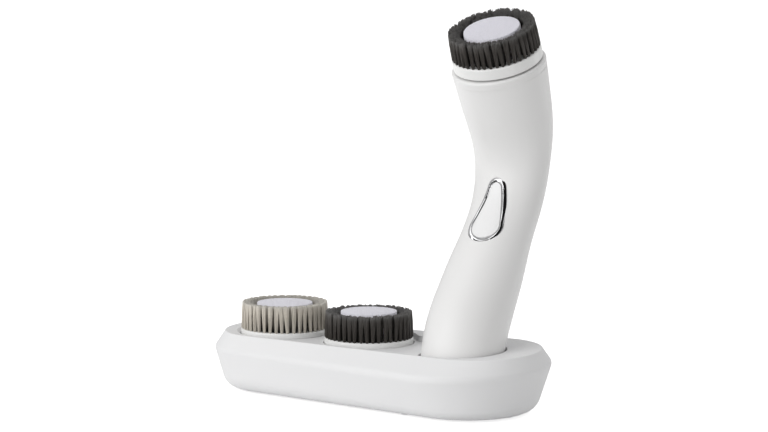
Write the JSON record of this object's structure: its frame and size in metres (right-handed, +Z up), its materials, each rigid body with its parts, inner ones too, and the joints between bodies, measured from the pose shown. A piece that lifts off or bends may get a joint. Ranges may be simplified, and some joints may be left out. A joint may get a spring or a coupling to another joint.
{
  "type": "facial cleansing brush",
  "caption": "Powered facial cleansing brush with an S-curved handle and teardrop button, standing in a boat-shaped charging stand beside spare round brush heads.",
  "frame": {"origin": "on the table plane, in the middle of the bounding box of the whole object as it stands", "axes": "+X along the stand from the spare heads to the handle, +Y from the button side to the back, +Z up"},
  "size_m": [0.1864, 0.099, 0.1935],
  "materials": {
    "stand_white": "satin moulded white",
    "handle_white": "satin moulded white",
    "base_white": "fine-grained white",
    "button_white": "satin white",
    "collar_white": "satin moulded white",
    "post_white": "plain white",
    "inner_white": "plain, unpolished",
    "gear_white": "plain natural",
    "spindle_grey": "plain grey",
    "ring_chrome": "bright plating",
    "steel": "plain zinc-plated",
    "motor_steel": "drawn can",
    "bush_brass": "turned",
    "coil_copper": "enamelled copper",
    "ferrite": "sintered, dark",
    "board_green": "solder mask",
    "chip_black": "moulded black",
    "jack_black": "moulded black",
    "cell_wrap": "shrink wrapped cell",
    "pad_rubber": "soft, matte",
    "seal_rubber": "soft, matte",
    "bristle_dark": "fine dark filaments",
    "bristle_beige": "fine beige filaments",
    "bristle_pale": "very fine pale filaments"
  },
  "bodies": {
    "stand": {"stand_shell": "stand_white", "base_plate": "base_white", "base_screws": "steel", "rubber_feet": "pad_rubber", "head_posts": "post_white", "stand_coil": "coil_copper", "stand_ferrite": "ferrite", "stand_board": "board_green", "inlet_jack": "jack_black"},
    "handle": {"handle_housing": "handle_white", "rear_cover": "handle_white", "foot_cap": "handle_white", "nose_ring": "handle_white", "button_bezel": "ring_chrome", "main_board": "board_green", "board_parts": "chip_black", "tact_switch": "chip_black", "battery": "cell_wrap", "chassis": "inner_white", "handle_coil": "coil_copper", "handle_ferrite": "ferrite", "shaft_seal": "seal_rubber", "output_bearing": "bush_brass", "ring_gear": "gear_white", "gearbox_housing": "inner_white", "motor": "motor_steel"},
    "button": {"button_cap": "button_white", "switch_plunger": "chip_black"},
    "motor_rotor": {"sun_pinion": "bush_brass", "motor_shaft": "steel"},
    "spindle_carrier": {"spindle": "spindle_grey"},
    "planet_1": {"planet_gear_1": "gear_white"},
    "planet_2": {"planet_gear_2": "gear_white"},
    "planet_3": {"planet_gear_3": "gear_white"},
    "fitted_head": {"fitted_head_collar": "collar_white", "fitted_head_hub": "collar_white", "fitted_head_outer_bristles": "bristle_dark", "fitted_head_inner_bristles": "bristle_pale"},
    "dark_head": {"dark_head_collar": "collar_white", "dark_head_hub": "collar_white", "dark_head_outer_bristles": "bristle_dark", "dark_head_inner_bristles": "bristle_pale"},
    "beige_head": {"beige_head_collar": "collar_white", "beige_head_hub": "collar_white", "beige_head_outer_bristles": "bristle_beige", "beige_head_inner_bristles": "bristle_pale"}
  },
  "joints": [
    {"name": "handle_lift", "type": "slide", "parent": "stand", "child": "handle", "axis": [-0.0135, 0.2585, 0.9659], "range_m": [0, 0.06]},
    {"name": "button_press", "type": "slide", "parent": "handle", "child": "button", "axis": [-0.0429, 0.818, -0.5736], "range_m": [0, 0.00045], "stiffness_N_per_m": 1500, "springref_m": -0.0003},
    {"name": "head_spin", "type": "hinge", "parent": "handle", "child": "spindle_carrier", "pos_m": [0.05274, 0.01876, 0.16709], "axis": [0.0196, -0.3741, 0.9272], "continuous": true},
    {"name": "motor_spin", "type": "hinge", "parent": "handle", "child": "motor_rotor", "pos_m": [0.05274, 0.01876, 0.16709], "axis": [0.0196, -0.3741, 0.9272], "continuous": true},
    {"name": "planet_spin_1", "type": "hinge", "parent": "spindle_carrier", "child": "planet_1", "pos_m": [0.06023, 0.01916, 0.16709], "axis": [0.0196, -0.3741, 0.9272], "continuous": true},
    {"name": "planet_spin_2", "type": "hinge", "parent": "spindle_carrier", "child": "planet_2", "pos_m": [0.04868, 0.02458, 0.16952], "axis": [0.0196, -0.3741, 0.9272], "continuous": true},
    {"name": "planet_spin_3", "type": "hinge", "parent": "spindle_carrier", "child": "planet_3", "pos_m": [0.04931, 0.01255, 0.16465], "axis": [0.0196, -0.3741, 0.9272], "continuous": true},
    {"name": "head_pull_off", "type": "slide", "parent": "spindle_carrier", "child": "fitted_head", "axis": [0.0196, -0.3741, 0.9272], "range_m": [0, 0.025]},
    {"name": "dark_head_lift", "type": "slide", "parent": "stand", "child": "dark_head", "axis": [0, 0, 1], "range_m": [0, 0.03]},
    {"name": "beige_head_lift", "type": "slide", "parent": "stand", "child": "beige_head", "axis": [0, 0, 1], "range_m": [0, 0.03]}
  ],
  "couplings": [
    {"joint": "motor_spin", "follows": "head_spin", "ratio": 5},
    {"joint": "planet_spin_1", "follows": "head_spin", "ratio": -2.6667},
    {"joint": "planet_spin_2", "follows": "head_spin", "ratio": -2.6667},
    {"joint": "planet_spin_3", "follows": "head_spin", "ratio": -2.6667}
  ]
}
